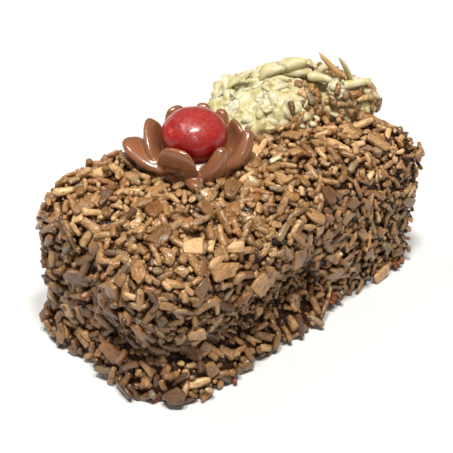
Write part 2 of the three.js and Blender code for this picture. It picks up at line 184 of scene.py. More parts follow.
def slab_surface(feet, directions, inset=0.0):
    """Where rays from inside the slab reach the surface at that inset, or SPINE_BELOW under the floor."""

    def depth(t):
        points = feet + directions * t[:, None]
        return np.maximum(slab_distance(points) + inset, -SPINE_BELOW - points[:, 2])

    stride = 0.8
    high = np.full(len(feet), stride)
    while np.any(inside := depth(high) < 0):
        high[inside] += stride
    low = high - stride
    for _ in range(18):
        middle = (low + high) / 2
        inside = depth(middle) < 0
        low[inside] = middle[inside]
        high[~inside] = middle[~inside]
    return feet + directions * low[:, None]


def rays_through(box_points):
    """Feet and directions of the rays picked by points of the unit box."""
    u, v, w = box_points.T
    feet = np.stack([u * SPINE_HALF_LENGTH, 0 * u, 0 * u + SPINE_HEIGHT], axis=1)
    heights = -SPINE_BELOW + (SLAB_HEIGHT + SPINE_BELOW) * (w + 1) / 2
    targets = np.stack([u * SLAB_LENGTH / 2, v * SLAB_WIDTH / 2, heights], axis=1)
    directions = targets - feet
    return feet, directions / np.linalg.norm(directions, axis=1, keepdims=True)


def top_of_slab(x, y):
    foot = np.array([[x, y, float(SPINE_HEIGHT)]])
    return Vector(slab_surface(foot, np.array([[0.0, 0.0, 1.0]]))[0])


# ---------------- rosette, cherry and coconut

ROSETTE_X, ROSETTE_Y = -9.2, 6.2
ROSETTE_RADIUS, ROSETTE_HEIGHT = 11.5, 6.2
CHERRY_HEIGHT = 8.5
CHERRY_SQUASH = 0.8
# Towards the dimple that the stone was pressed out of.
CHERRY_DIMPLE = Vector((-0.75, 0.1, 0.62)).normalized()

# The rosette's piped ridges. Each follows a curve that runs from its first place to its last, bent
# towards the one between. A place is a bearing in degrees from +X, the reach from the rosette's middle
# and the rise over its base. Then come the ridge's width and thickness.
RIDGES = {
    "left_fold": ((186, 8.5, 1.4), (152, 13.8, 2.4), (127, 18.0, 5.6), 11.0, 4.8),
    "left_wall": ((174, 8.0, 1.6), (146, 13.4, 2.8), (106, 12.6, 9.2), 11.4, 4.0),
    "disc": ((203, 6.5, 0.8), (203, 11.9, 1.2), (203, 11.4, 10.8), 12.0, 3.2),
    "front": ((238, 8.0, 0.8), (248, 13.4, 0.8), (270, 11.6, 10.0), 6.0, 5.0),
    "right": ((286, 7.0, 0.8), (300, 14.6, 0.8), (324, 14.8, 9.0), 6.2, 5.0),
    "right_wall": ((330, 6.0, 0.8), (340, 12.8, 1.0), (340, 12.6, 9.6), 9.6, 3.0),
    "far": ((8, 6.0, 0.8), (10, 13.0, 0.8), (14, 13.6, 9.6), 5.4, 4.4),
    "back": ((36, 6.0, 0.8), (38, 12.4, 0.8), (36, 13.0, 10.8), 6.0, 4.6),
    "back_wall": ((70, 6.0, 0.8), (72, 12.0, 0.8), (74, 11.8, 11.2), 8.0, 3.8),
    "tail": ((214, 8.0, 0.8), (226, 12.0, 0.6), (231, 15.4, 1.4), 4.4, 3.4),
}

# The coconut lies in one long heap, with a lower one at its far end, in front: x, y, half length, half
# width, height and turn in degrees.
MOUND = (29, 11.5, 21, 14, 9.8, -14)
LOBE = (42, -1.6, 9.4, 6.8, 9.2, -44)

# Long shreds that stand out of the heap: root, bearing and climb in degrees, length, width, thickness.
LOOSE_SHREDS = {
    "long": ((13, 22, 51), -37, 38, 14, 2.6, 1.0),
    "top_chunk": ((26.0, 16.6, 55.6), -50, 24, 8.6, 5.0, 3.8),
    "top_chunk_end": ((29.6, 12.8, 58.0), -38, 14, 8.6, 4.6, 3.6),
    "top_chunk_foot": ((26.8, 15.4, 54.6), -56, 6, 9.0, 4.4, 3.6),
    "toasted": ((43.6, -3.8, 52.3), 133, 50, 15.5, 2.5, 1.6),
    "upright": ((45, -3.8, 51.9), 175, 64, 13.4, 2.4, 1.4),
    "lying": ((37.2, -2.8, 55.2), -28, 2, 12.4, 2.8, 2.2),
    "far_bit": ((45.6, -6.2, 53.0), -50, -32, 6.5, 3.0, 2.2),
    "far_top": ((30.5, 12, 57.2), -45, -4, 9, 4.4, 3.0),
    "middle_top": ((35, 6, 56.4), -48, -8, 9, 4.0, 3.0),
    "left_slope": ((14, 16, 51), 60, 35, 9, 3.2, 1.4),
}
TOASTED_SHRED = "toasted"
LOOSE_SHRED_SEED = 3

# Bits of coconut that lie among the flakes, in plan.
STRAY_BITS = (
    (24.2, -1.9),
    (26.5, -4.6),
    (29.5, -3.6),
    (45.2, -8.4),
    (47.6, -5.6),
    (6.5, -9.5),
    (-4.6, -11.6),
)

# Where the cake's own crumb shows at the foot of the coat: x, y and height.
BARE_CRUMBS = (
    (-28.6, -28.6, 1.9),
    (4.6, -28.6, 1.7),
    (13.4, -27.2, 4.4),
    (-46.8, -20.5, 1.8),
    (41, -28.0, 2.0),
)
CRUMBS_IN_CLUSTER = 16


def on_heap(heap, bearing, climb, swell=1.0):
    """Points on a heap's skin, by bearing and height angle in radians, and their normals."""
    x, y, half_length, half_width, height, turn = heap
    axes = np.array([half_length, half_width, height])
    unit = np.stack([np.cos(bearing) * np.cos(climb), np.sin(bearing) * np.cos(climb), np.sin(climb)], 1)
    lump = 1 + 0.06 * np.sin(3 * bearing + 1) + 0.05 * np.sin(5 * climb + 2 * bearing)
    spin = np.array(Matrix.Rotation(math.radians(turn), 3, "Z"))
    base = np.array([x, y, top_of_slab(MOUND[0], MOUND[1]).z])
    points = (unit * axes * (lump * swell)[:, None]) @ spin.T + base
    normals = (unit / axes) @ spin.T
    return points, normals / np.linalg.norm(normals, axis=1, keepdims=True)


def heap_distance(points, heap):
    """Rough distance in plan from points to a heap's foot."""
    x, y, half_length, half_width, _, turn = heap
    dx, dy = points[:, 0] - x, points[:, 1] - y
    cosine, sine = math.cos(math.radians(turn)), math.sin(math.radians(turn))
    along, across = dx * cosine + dy * sine, dy * cosine - dx * sine
    share = np.hypot(along / half_length, across / half_width)
    return np.hypot(along, across) * (1 - 1 / np.maximum(share, 1e-3))


def coconut_distance(points):
    return np.minimum(heap_distance(points, MOUND), heap_distance(points, LOBE))


# ---------------- settings

FINISHES = {
    "ganache": "#2f1a0e",
    "flake_dark": "#52351b",
    "flake_mid": "#966e42",
    "flake_light": "#d3ad7a",
    "fudge": "#7a4f36",
    "cherry": "#900a0e",
    "coconut": "#c8bd88",
    "toasted": "#c79e68",
    "crumb": "#8a4a2a",
}


def colour_setting(name, finish, description):
    """A colour that a user can change, by default the finish of that name."""
    return bpy.props.FloatVectorProperty(
        name=name, description=description, subtype="COLOR", default=linear(FINISHES[finish])
    )


class SliceSizes(bpy.types.PropertyGroup):
    """What a user would change about the slice's pieces."""

    cherry_width: bpy.props.FloatProperty(
        name="Cherry width",
        description="Width of the candied cherry",
        default=18.4 * MM,
        unit="LENGTH",
    )
    flake_scale: bpy.props.FloatProperty(
        name="Flake scale",
        description="Size of the chocolate flakes against their usual size",
        default=1.0,
        subtype="FACTOR",
    )
    shred_length: bpy.props.FloatProperty(
        name="Shred length",
        description="Usual length of a shred of coconut",
        default=6.0 * MM,
        unit="LENGTH",
    )
    shred_count: bpy.props.IntProperty(
        name="Shreds",
        description="How many shreds are clumped into the coconut; half as many lie over it",
        default=420,
    )
    seed: bpy.props.IntProperty(
        name="Seed", description="Another seed lays the flakes and shreds another way", default=20
    )


class SliceColours(bpy.types.PropertyGroup):
    """The slice's colours."""

    ganache: colour_setting("Ganache", "ganache", "The soft chocolate that the flakes stick to")
    flake_dark: colour_setting("Dark flakes", "flake_dark", "The darkest chocolate flakes")
    flake_mid: colour_setting("Flakes", "flake_mid", "The usual chocolate flakes")
    flake_light: colour_setting("Light flakes", "flake_light", "The palest chocolate flakes")
    fudge: colour_setting("Fudge", "fudge", "The piped rosette")
    cherry: colour_setting("Cherry", "cherry", "The candied cherry")
    coconut: colour_setting("Coconut", "coconut", "Moist grated coconut")
    toasted: colour_setting("Toasted coconut", "toasted", "The browned shred")
    crumb: colour_setting("Cake crumb", "crumb", "The cake's own crumb, where it shows at the foot")


# ---------------- mesh helpers


def finish_mesh(bm, name):
    """A mesh object in metres from a bmesh in millimetres, with outward faces and smooth shading."""
    bmesh.ops.recalc_face_normals(bm, faces=bm.faces)
    bmesh.ops.scale(bm, vec=(MM, MM, MM), verts=bm.verts)
    mesh = bpy.data.meshes.new(name)
    bm.to_mesh(mesh)
    bm.free()
    mesh.shade_smooth()
    return place(mesh, name)


def place(data, name):
    """A new object in the scene, of a mesh, a light or a camera."""
    piece = bpy.data.objects.new(name, data)
    bpy.context.scene.collection.objects.link(piece)
    return piece


def ready(piece, material, node=None):
    """Gives a piece its material and its place in the frame."""
    piece.data.materials.append(material)
    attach(piece, "root")
    if node:
        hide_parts(node)


def fuse(piece, voxel, rounds):
    """Runs a piece's shapes together by a fine remesh, as soft food sticks, and softens them."""
    merge = piece.modifiers.new("Fuse", "REMESH")
    merge.mode = "VOXEL"
    merge.voxel_size = voxel * MM
    merge.use_smooth_shade = True
    soften = piece.modifiers.new("Soften", "SMOOTH")
    soften.factor = 0.5
    soften.iterations = rounds


def ball(bm, segments, rings):
    """A unit sphere; its vertices."""
    return bmesh.ops.create_uvsphere(bm, u_segments=segments, v_segments=rings, radius=1)["verts"]


def ball_along_x(bm, segments, rings):
    """A unit sphere with its poles on X; its vertices."""
    vertices = ball(bm, segments, rings)
    bmesh.ops.rotate(bm, matrix=Matrix.Rotation(math.pi / 2, 3, "Y"), verts=vertices)
    return vertices


def cut_off(bm, place, outward):
    """Cuts off what lies outward of a plane through that place; the edges of the open cut."""
    cut = bmesh.ops.bisect_plane(
        bm,
        geom=bm.verts[:] + bm.edges[:] + bm.faces[:],
        plane_co=place,
        plane_no=outward,
        clear_outer=True,
    )
    return [e for e in cut["geom_cut"] if isinstance(e, bmesh.types.BMEdge)]


def random_pair(seed):
    """Random numbers for many places at once, and for shapes one at a time."""
    return np.random.default_rng(seed), random.Random(seed)


def random_offset(rng):
    """A random place in the noise, so that no two shapes are lumpy alike."""
    return Vector([rng.uniform(0, 99) for _ in range(3)])


def shape_data(bm):
    """A small shape's vertices and faces as arrays, for copying many times."""
    bmesh.ops.recalc_face_normals(bm, faces=bm.faces)
    bm.verts.index_update()
    vertices = np.array([v.co for v in bm.verts])
    faces = [[v.index for v in f.verts] for f in bm.faces]
    bm.free()
    return vertices, faces


def joined_copies(name, shapes, picks, centres, axes, sizes, tints):
    """One mesh object of many copies. Each row of the arrays places one copy of shapes[pick].

    The attribute "grain" holds each copy's own tint, dullness and hue.
    """
    points, faces, grains = [], [], []
    start = 0
    for k, (vertices, polygons) in enumerate(shapes):
        rows = np.flatnonzero(picks == k)
        sized = vertices[None] * sizes[rows][:, None, :]
        turned = np.einsum("nij,nvj->nvi", axes[rows], sized) + centres[rows][:, None, :]
        # A copy that would reach under the floor is lifted onto it.
        turned[..., 2] += np.maximum(0.02 - turned[..., 2].min(axis=1), 0)[:, None]
        points.append(turned.reshape(-1, 3))
        grains.append(np.repeat(tints[rows], len(vertices), axis=0))
        for _ in rows:
            faces.extend([start + i for i in polygon] for polygon in polygons)
            start += len(vertices)
    mesh = bpy.data.meshes.new(name)
    mesh.from_pydata((np.concatenate(points) * MM).tolist(), [], faces)
    grain = mesh.attributes.new("grain", "FLOAT_COLOR", "POINT")
    values = np.concatenate(grains)
    grain.data.foreach_set("color", np.column_stack([values, np.ones(len(values))]).ravel())
    mesh.shade_smooth()
    return place(mesh, name)


# ---------------- materials


# The sockets of a node that mixes colours, by number, because several of them have the same name.
FACTOR, A, B = 0, 6, 7
COLOUR_MIX = {"data_type": "RGBA", "output": 2}


def add_node(tree, kind, inputs=None, output=0, **settings):
    """Adds a node, sets its settings, and sets or links its inputs.

    The kind is the node's type without ShaderNode before it. It returns the output asked for, or the
    node itself if that is None.
    """
    node = tree.nodes.new("ShaderNode" + kind)
    for name, value in settings.items():
        setattr(node, name, value)
    for name, value in (inputs or {}).items():
        socket = node.inputs[name]
        if isinstance(value, bpy.types.NodeSocket):
            tree.links.new(value, socket)
        else:
            socket.default_value = value
    return node if output is None else node.outputs[output]


def new_material(name):
    """A new material, the function that adds nodes to it, and its object coordinates."""
    material = bpy.data.materials.new(name)
    material.use_nodes = True
    material.node_tree.nodes.clear()
    add = functools.partial(add_node, material.node_tree)
    return material, add, add("TexCoord", output="Object")


def per_mm(size):
    """The scale at which a texture's cells are that many millimetres."""
    return 1 / (size * MM)


def opaque(colour):
    return (*colour, 1.0)


# Colours that aren't settings.
BLOOMED_FLAKE = opaque(linear("#8b7a5c"))
REDDISH_FLAKE = opaque(linear("#9a6238"))
SYRUP_SMEAR = opaque((0.6, 0.52, 0.44))
# The pale pink on the cherry's crown: sugar, and also a painted sheen.
SUGAR_AND_SHEEN_PINK = opaque(linear("#b04a42"))
THICK_COCONUT = opaque(linear("#dad3b4"))
WET_COCONUT = opaque(linear("#d6d2b0"))
FLOOR_PAINT = opaque((0.6, 0.6, 0.6))


def ganache_material(colours):
    """Soft dark ganache, spread with a knife: wet and glossy, with a knife's small waves."""
    material, add, at = new_material("Dark ganache, spread")
    waves = add("TexNoise", {"Vector": at, "Scale": per_mm(1.8), "Detail": 4.0})
    crest = add("MapRange", {"Value": waves, "From Min": 0.45, "From Max": 0.75})
    paler = opaque([c * 2.4 for c in colours.ganache])
    shade = add("Mix", {FACTOR: crest, A: opaque(colours.ganache), B: paler}, **COLOUR_MIX)
    rough = add(
        "MapRange",
        {"Value": waves, "From Min": 0.3, "From Max": 0.7, "To Min": 0.08, "To Max": 0.32},
    )
    relief = add("Bump", {"Height": waves, "Distance": 0.9 * MM})
    inputs = {"Base Color": shade, "Roughness": rough, "IOR": 1.46, "Normal": relief}
    shader = add("BsdfPrincipled", inputs)
    add("OutputMaterial", {"Surface": shader}, None)
    return material


def flake_material(colours):
    """Chopped milk chocolate: satin, with soft bright glints, each flake its own shade of brown."""
    material, add, at = new_material("Milk chocolate, chopped")
    grain = add("Attribute", attribute_name="grain")
    tint, dullness, hue = add("SeparateColor", {"Color": grain}, None).outputs
    shades = add("ValToRGB", {"Fac": tint}, None)
    shades.color_ramp.elements[0].color = opaque(colours.flake_dark)
    shades.color_ramp.elements[1].color = opaque(colours.flake_light)
    shades.color_ramp.elements.new(0.5).color = opaque(colours.flake_mid)
    brown = shades.outputs["Color"]
    # A few flakes are greyer, where the cocoa butter has bloomed, and a few are redder.
    bloomed = add("MapRange", {"Value": hue, "From Min": 0.84, "From Max": 0.97, "To Max": 0.55})
    greyed = add("Mix", {FACTOR: bloomed, A: brown, B: BLOOMED_FLAKE}, **COLOUR_MIX)
    reddish = add("MapRange", {"Value": hue, "From Min": 0.2, "From Max": 0.04, "To Max": 0.45})
    varied = add("Mix", {FACTOR: reddish, A: greyed, B: REDDISH_FLAKE}, **COLOUR_MIX)
    # Smears of darker syrup, about as wide as a small flake.
    smears = add("TexNoise", {"Vector": at, "Scale": per_mm(2.0), "Detail": 4.0, "Roughness": 0.6})
    clean = add("MapRange", {"Value": smears, "From Min": 0.3, "From Max": 0.5})
    smeared = add("Mix", {FACTOR: 1.0, A: varied, B: SYRUP_SMEAR}, blend_type="MULTIPLY", **COLOUR_MIX)
    shade = add("Mix", {FACTOR: clean, A: smeared, B: varied}, **COLOUR_MIX)
    rough = add("MapRange", {"Value": dullness, "To Min": 0.18, "To Max": 0.36})
    grit = add("TexNoise", {"Vector": at, "Scale": per_mm(0.8), "Detail": 2.0})
    fine = add("Bump", {"Height": grit, "Distance": 0.36 * MM})
    relief = add("Bump", {"Height": smears, "Distance": 0.9 * MM, "Normal": fine})
    shader = add(
        "BsdfPrincipled",
        {
            "Base Color": shade,
            "Roughness": rough,
            "IOR": 1.5,
            "Coat Weight": 0.3,
            "Coat Roughness": 0.12,
            "Normal": relief,
        },
    )
    add("OutputMaterial", {"Surface": shader}, None)
    return material


def fudge_material(colours):
    """Piped fudge icing: dense and smooth, with a wet shine and faint drag lines."""
    material, add, at = new_material("Fudge icing, piped")
    broad = add("TexNoise", {"Vector": at, "Scale": per_mm(7), "Detail": 2.0})
    drag = add("TexNoise", {"Vector": at, "Scale": per_mm(1.3), "Detail": 2.0})
    share = add("MapRange", {"Value": broad, "From Min": 0.35, "From Max": 0.65})
    red, green, blue = colours.fudge
    warm = opaque((red * 1.25, green * 1.08, blue * 0.8))
    shade = add("Mix", {FACTOR: share, A: opaque(colours.fudge), B: warm}, **COLOUR_MIX)
    rough = add(
        "MapRange",
        {"Value": broad, "From Min": 0.3, "From Max": 0.7, "To Min": 0.26, "To Max": 0.38},
    )
    relief = add("Bump", {"Height": drag, "Distance": 0.08 * MM, "Strength": 0.6})
    shader = add(
        "BsdfPrincipled",
        {
            "Base Color": shade,
            "Roughness": rough,
            "IOR": 1.46,
            "Subsurface Weight": 0.1,
            "Subsurface Radius": (0.002, 0.0008, 0.0003),
            "Subsurface Scale": 1.0,
            "Coat Weight": 1.0,
            "Coat Roughness": 0.12,
            "Normal": relief,
        },
    )
    add("OutputMaterial", {"Surface": shader}, None)
    return material


def cherry_material(colours, top):
    """A candied cherry: clear red flesh under a sticky skin, paler towards its crown, partly from sugar
    and partly as a painted sheen of the light above.
    """
    material, add, at = new_material("Candied cherry, syrup glazed")
    flesh = add("TexNoise", {"Vector": at, "Scale": per_mm(5), "Detail": 3.0})
    specks = add("TexNoise", {"Vector": at, "Scale": per_mm(0.9), "Detail": 5.0, "Roughness": 0.7})
    share = add("MapRange", {"Value": flesh, "From Min": 0.3, "From Max": 0.7})
    deep = opaque([c * 0.7 for c in colours.cherry])
    red = add("Mix", {FACTOR: share, A: deep, B: opaque(colours.cherry)}, **COLOUR_MIX)
    # Paler towards the crown: partly sugar, partly a painted sheen where the light above shines.
    height = add("SeparateXYZ", {"Vector": at}, "Z")
    crown = add(
        "MapRange",
        {"Value": height, "From Min": (top - 8) * MM, "From Max": top * MM},
        interpolation_type="SMOOTHSTEP",
    )
    cloudy = add(
        "MapRange",
        {"Value": specks, "From Min": 0.35, "From Max": 0.75, "To Min": 0.1, "To Max": 0.75},
    )
    sugar_and_sheen = add("Math", {0: crown, 1: cloudy}, operation="MULTIPLY")
    shade = add("Mix", {FACTOR: sugar_and_sheen, A: red, B: SUGAR_AND_SHEEN_PINK}, **COLOUR_MIX)
    rough = add(
        "MapRange",
        {"Value": specks, "From Min": 0.35, "From Max": 0.7, "To Min": 0.26, "To Max": 0.44},
    )
    fine = add("Bump", {"Height": specks, "Distance": 0.07 * MM, "Strength": 0.5})
    relief = add("Bump", {"Height": flesh, "Distance": 0.3 * MM, "Strength": 0.5, "Normal": fine})
    shader = add(
        "BsdfPrincipled",
        {
            "Base Color": shade,
            "Roughness": rough,
            "IOR": 1.45,
            "Subsurface Weight": 0.15,
            "Subsurface Radius": (0.003, 0.0006, 0.0005),
            "Subsurface Scale": 1.0,
            "Coat Weight": 0.5,
            "Coat Roughness": 0.2,
            "Normal": relief,
        },
    )
    add("OutputMaterial", {"Surface": shader}, None)
    return material


def coconut_material(colours):
    """Moist grated coconut: pale cream, wet and translucent, whiter where it is thick."""
    material, add, at = new_material("Coconut flesh, grated")
    grain = add("Attribute", attribute_name="grain")
    _, dullness, hue = add("SeparateColor", {"Color": grain}, None).outputs
    clouds = add("TexNoise", {"Vector": at, "Scale": per_mm(4), "Detail": 3.0})
    thick = add("MapRange", {"Value": clouds, "From Min": 0.4, "From Max": 0.65})
    pale = opaque(colours.coconut)
    flesh = add("Mix", {FACTOR: thick, A: pale, B: THICK_COCONUT}, **COLOUR_MIX)
    wet = add("MapRange", {"Value": hue, "From Min": 0.7, "From Max": 1.0, "To Max": 0.7})
    moist = add("Mix", {FACTOR: wet, A: flesh, B: WET_COCONUT}, **COLOUR_MIX)
    # A dullness of 1 marks the browned shred.
    browned = add("MapRange", {"Value": dullness, "From Min": 0.95, "From Max": 1.0})
    brown = opaque(colours.toasted)
    shade = add("Mix", {FACTOR: browned, A: moist, B: brown}, **COLOUR_MIX)
    fibres = add("TexNoise", {"Vector": at, "Scale": per_mm(0.8), "Detail": 3.0})
    rough = add(
        "MapRange",
        {"Value": fibres, "From Min": 0.3, "From Max": 0.7, "To Min": 0.28, "To Max": 0.5},
    )
    relief = add("Bump", {"Height": fibres, "Distance": 0.2 * MM, "Strength": 0.6})
    shader = add(
        "BsdfPrincipled",
        {
            "Base Color": shade,
            "Roughness": rough,
            "IOR": 1.4,
            "Subsurface Weight": 0.6,
            "Subsurface Radius": (0.0014, 0.0014, 0.0013),
            "Subsurface Scale": 1.0,
            "Transmission Weight": 0.2,
            "Normal": relief,
        },
    )
    add("OutputMaterial", {"Surface": shader}, None)
    return material


def crumb_material(colours):
    """The cake's own baked crumb: open, dry and matt, a redder brown than the flakes."""
    material, add, at = new_material("Chocolate cake crumb, baked")
    pores = add("TexNoise", {"Vector": at, "Scale": per_mm(0.8), "Detail": 4.0})
    share = add("MapRange", {"Value": pores, "From Min": 0.35, "From Max": 0.65})
    deep = opaque([c * 0.45 for c in colours.crumb])
    shade = add("Mix", {FACTOR: share, A: deep, B: opaque(colours.crumb)}, **COLOUR_MIX)
    relief = add("Bump", {"Height": pores, "Distance": 0.4 * MM})
    shader = add("BsdfPrincipled", {"Base Color": shade, "Roughness": 0.75, "Normal": relief})
    add("OutputMaterial", {"Surface": shader}, None)
    return material


def floor_material():
    """Matt white paint, rolled: no pattern that shows, only a slight change of sheen."""
    material, add, at = new_material("Pale floor, painted")
    rolled = add("TexNoise", {"Vector": at, "Scale": per_mm(40), "Detail": 2.0})
    rough = add("MapRange", {"Value": rolled, "To Min": 0.55, "To Max": 0.65})
    shader = add("BsdfPrincipled", {"Base Color": FLOOR_PAINT, "Roughness": rough})
    add("OutputMaterial", {"Surface": shader}, None)
    return material


# ---------------- flakes: shapes and places


def cut_block(rng, cuts, flatness):
    """A block about 1 across with corners broken off by flat cuts; its bmesh.

    A flatness of 1 makes every cut upright, as on a plate.
    """
    bm = bmesh.new()
    bmesh.ops.create_cube(bm, size=1)
    start = rng.uniform(0, math.tau)
    for i in range(cuts):
        angle = start + math.tau * (i + rng.uniform(-0.3, 0.3)) / cuts
        lift = rng.gauss(0, 0.8) * (1 - flatness)
        direction = Vector((math.cos(angle), math.sin(angle), lift)).normalized()
        if rim := cut_off(bm, direction * rng.uniform(0.34, 0.56), direction):
            bmesh.ops.contextual_create(bm, geom=rim)
    return bm


def soften_edges(bm, offset):
    bmesh.ops.bevel(
        bm,
        geom=bm.edges[:],
        offset=offset,
        offset_type="OFFSET",
        segments=1,
        profile=0.5,
        affect="EDGES",
        clamp_overlap=True,
        material=-1,
    )


def shard_shape(rng):
    """A broken plate with crisp edges, a little curved, about 1 across."""
    bm = cut_block(rng, rng.choice((4, 5)), 1)
    soften_edges(bm, 0.07)
    curl = rng.uniform(-0.9, 0.9)
    for v in bm.verts:
        v.co.z += curl * (v.co.x**2) + 0.3 * noise.noise(v.co * 1.7 + Vector((curl, 0, 3)))
    return shape_data(bm)


def chunk_shape(rng):
    """A broken lump with flat faces and worn edges, about 1 across."""
    bm = cut_block(rng, rng.choice((4, 5)), 0.3)
    soften_edges(bm, 0.12)
    return shape_data(bm)


def pebble_shape(rng):
    """A small lump with soft corners, about 1 across."""
    bm = bmesh.new()
    bmesh.ops.create_icosphere(bm, subdivisions=2, radius=1)
    turn = Euler([rng.uniform(0, math.tau) for _ in range(3)]).to_matrix()
    offset = random_offset(rng)
    bmesh.ops.rotate(bm, matrix=turn, verts=bm.verts)
    for v in bm.verts:
        square = Vector([math.copysign(abs(c) ** 0.66, c) for c in v.co])
        v.co = square * (1 + 0.35 * noise.noise(v.co * 1.1 + offset)) * 0.5
    return shape_data(bm)


def rod_shape(rng):
    """A stubby stick with blunt ends, a little bent, along X and about 1 long."""
    bm = bmesh.new()
    ball_along_x(bm, 7, 6)
    bend = rng.uniform(-0.5, 0.5)
    pinch = rng.uniform(-0.2, 0.2)
    offset = random_offset(rng)
    for v in bm.verts:
        x = math.copysign(abs(v.co.x) ** 0.7, v.co.x)
        girth = (1 - abs(v.co.x) ** 2) ** -0.3 if abs(v.co.x) < 0.98 else 1
        lump = (1 + 0.4 * noise.noise(v.co * 1.3 + offset) + pinch * x) * rng.uniform(0.9, 1.1)
        v.co.y = v.co.y * girth * lump + bend * (x * x - 0.4)
        v.co.z *= girth * lump
        v.co.x = x
        v.co *= 0.5
    return shape_data(bm)


def crumb_shape(rng):
    bm = bmesh.new()
    bmesh.ops.create_icosphere(bm, subdivisions=1, radius=0.5)
    for v in bm.verts:
        v.co *= rng.uniform(0.75, 1.2)
    return shape_data(bm)


def surface_candidates(count, rng):
    """Random points spread evenly over the slab's ganache, and their normals."""
    areas = np.array(
        [SLAB_LENGTH * SLAB_WIDTH, *[SLAB_LENGTH * SLAB_HEIGHT] * 2, *[SLAB_WIDTH * SLAB_HEIGHT] * 2]
    )
    face = rng.choice(5, size=count, p=areas / areas.sum())
    a, b = rng.uniform(-1, 1, (2, count))
    side = rng.uniform(-0.8, 1, count)
    box = np.select(
        [(face == k)[:, None] for k in range(5)],
        [
            np.stack([a, b, 0 * a + 1], 1),
            np.stack([a, 0 * a - 1, side], 1),
            np.stack([a, 0 * a + 1, side], 1),
            np.stack([0 * a - 1, b, side], 1),
            np.stack([0 * a + 1, b, side], 1),
        ],
    )
    points = slab_surface(*rays_through(box), COAT_DEPTH)
    points = points[points[:, 2] > 0.3]
    return points, slab_normals(points)


def spaced(points, radii, overlap):
    """Rows of points that keep apart, taken in order. A share of overlap is allowed."""
    cell = 2 * radii.max()
    grid, kept = {}, []
    keys = np.floor(points / cell).astype(int)
    for i, (point, key) in enumerate(zip(points, keys)):
        near = [
            j
            for dx in (-1, 0, 1)
            for dy in (-1, 0, 1)
            for dz in (-1, 0, 1)
            for j in grid.get((key[0] + dx, key[1] + dy, key[2] + dz), ())
        ]
        if near:
            gaps = np.linalg.norm(points[near] - point, axis=1)
            if np.any(gaps < (radii[near] + radii[i]) * (1 - overlap)):
                continue
        grid.setdefault(tuple(key), []).append(i)
        kept.append(i)
    return np.array(kept)


def tilted_axes(normals, tilt, rng):
    """Axes for copies that lie on a surface, each turned about it at random and tilted a little."""
    count = len(normals)
    leaned = normals + rng.normal(0, 1, (count, 3)) * np.tan(tilt)[:, None] * 0.6
    leaned /= np.linalg.norm(leaned, axis=1, keepdims=True)
    along = np.cross(leaned, rng.normal(0, 1, (count, 3)))
    along /= np.linalg.norm(along, axis=1, keepdims=True)
    return np.stack([along, np.cross(leaned, along), leaned], axis=2)


def clear_of_toppings(points, reach):
    """True where a flake of that reach goes no further than the foot of the rosette or the heaps."""
    on_top = points[:, 2] > SLAB_HEIGHT - 9
    to_rosette = np.hypot(points[:, 0] - ROSETTE_X, points[:, 1] - ROSETTE_Y) - ROSETTE_RADIUS
    nearest = np.minimum(to_rosette + 1, coconut_distance(points) + 2)
    return ~on_top | (nearest > reach * 0.3)


def undercut(points):
    """1 in the hollow of the front under the bulge, and 0 outside it."""
    x, y, z = points.T
    return ramp(x, 12, 4) * ramp(x, -34, -24) * ramp(y, -14, -20) * ramp(z, 25, 19) * ramp(z, 6, 10)


def painted_light_and_shade(points, normals):
    """Painted light and shade for the coat's tints: darker at the foot, on the near end and on steep
    sides, lighter facing up and in the hollow under the bulge.
    """
    x, _, z = points.T
    # Painted shade: darker towards the foot, and on the near end below its top edge.
    painted_shade_low_and_near_end = 0.06 * ramp(z, 14, 2) + 0.12 * ramp(x, -42, -50) * ramp(z, 44, 38)
    # Painted light: a little lighter in the hollow under the bulge and on faces that look up, darker on
    # steep sides.
    return 0.08 * undercut(points) - painted_shade_low_and_near_end + 0.16 * (normals[:, 2] - 0.78)


# Each layer of the coat, from the ganache outwards: its shapes, how many places are tried, sizes in
# millimetres (length, width, thickness), how far its middle stands off, its tilt in degrees and the
# share of overlap. The numbers of a pair are the least and the most.
Layer = namedtuple("Layer", "name make variants tries sizes off tilt overlap")
LAYERS = (
    Layer(
        name="flake_crumbs",
        make=crumb_shape,
        variants=4,
        tries=7000,
        sizes=((0.8, 1.6), (0.7, 1.4), (0.6, 1.2)),
        off=(0.0, 0.4),
        tilt=40,
        overlap=0.1,
    ),
    Layer(
        name="flake_pebbles",
        make=pebble_shape,
        variants=10,
        tries=5200,
        sizes=((1.7, 3.2), (1.4, 2.3), (1.2, 1.8)),
        off=(0.2, 1.3),
        tilt=35,
        overlap=0.12,
    ),
    Layer(
        name="flake_rods",
        make=rod_shape,
        variants=14,
        tries=5600,
        sizes=((3.2, 7.2), (1.6, 2.4), (1.4, 2.1)),
        off=(0.8, 2.1),
        tilt=24,
        overlap=0.3,
    ),
    Layer(
        name="flake_chunks",
        make=chunk_shape,
        variants=12,
        tries=460,
        sizes=((2.8, 5.2), (1.9, 3.2), (1.5, 2.3)),
        off=(1.2, 2.3),
        tilt=30,
        overlap=0.05,
    ),
    Layer(
        name="flake_shards",
        make=shard_shape,
        variants=14,
        tries=140,
        sizes=((5.0, 8.8), (3.2, 5.2), (1.0, 1.5)),
        off=(1.8, 2.6),
        tilt=22,
        overlap=0.0,
    ),
)

# How much finer the flakes are on the far part of the front, and in its hollow.
FINER_FAR_FRONT, FINER_IN_HOLLOW = 0.3, 0.42
STEEPEST_TILT = 1.1  # radians


